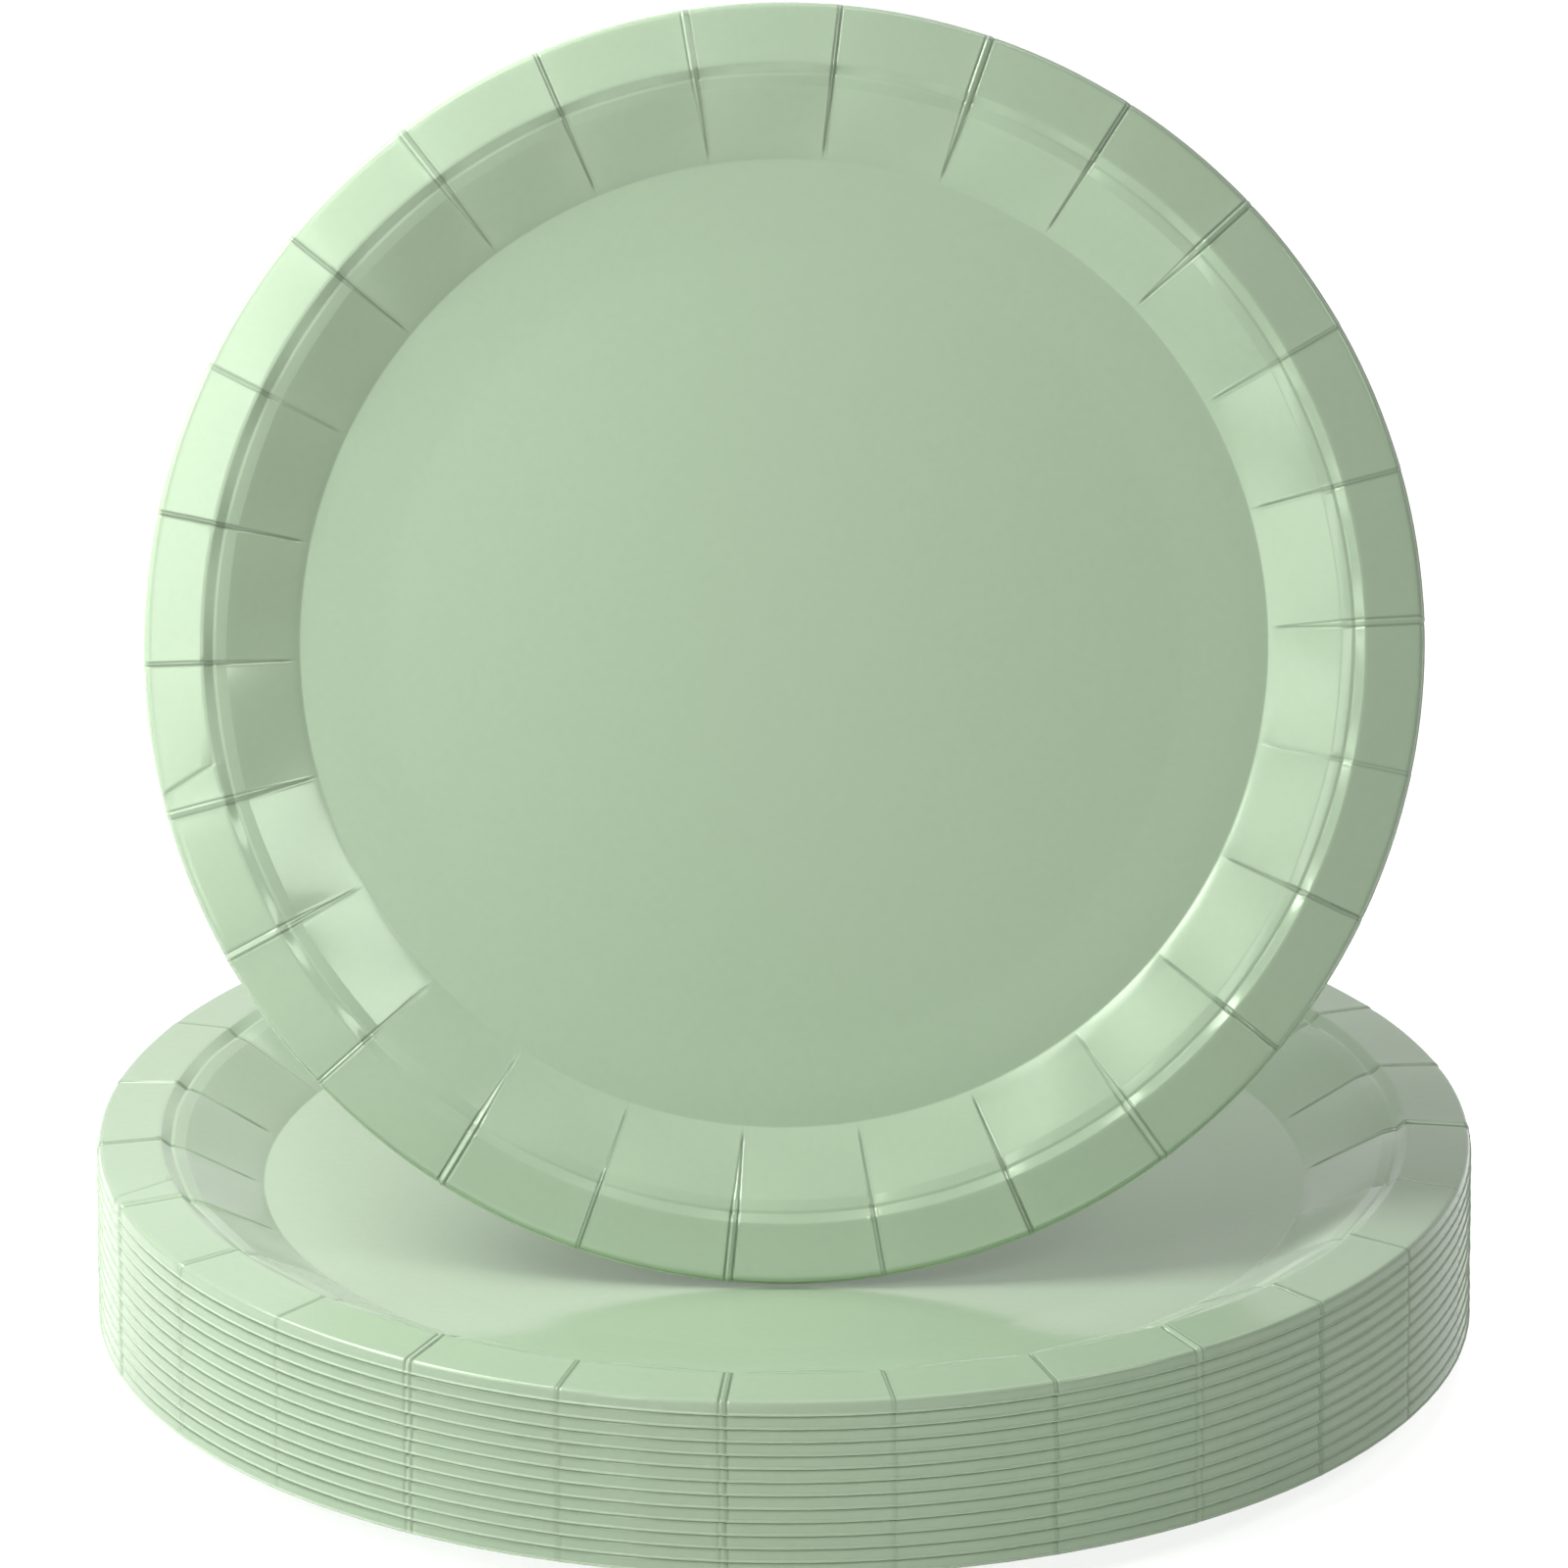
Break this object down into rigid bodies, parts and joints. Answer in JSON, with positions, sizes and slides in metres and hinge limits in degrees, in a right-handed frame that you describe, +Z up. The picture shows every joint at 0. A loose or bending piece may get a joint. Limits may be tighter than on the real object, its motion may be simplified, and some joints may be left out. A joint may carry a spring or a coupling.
{
  "type": "stack of paper plates",
  "caption": "Nested stack of round coated paper plates with pleated rims and a spare plate standing on edge on top, for serving food at a party or picnic.",
  "frame": {"origin": "middle of the bottom plate's underside, on the surface that the stack stands on", "axes": "+Z up along the axis of the nested plates; the plate on edge shows its food side towards -Y and leans back towards +Y; +X to the right as seen from the front"},
  "size_m": [0.229, 0.229, 0.2256],
  "materials": {
    "coated_board": "sage green paperboard with a semi-gloss coating"
  },
  "bodies": {
    "root": {"plate_01": "coated_board", "plate_02": "coated_board", "plate_03": "coated_board", "plate_04": "coated_board", "plate_05": "coated_board", "plate_06": "coated_board", "plate_07": "coated_board", "plate_08": "coated_board", "plate_09": "coated_board", "plate_10": "coated_board", "plate_11": "coated_board", "plate_12": "coated_board", "plate_13": "coated_board", "plate_on_edge": "coated_board"}
  },
  "joints": []
}
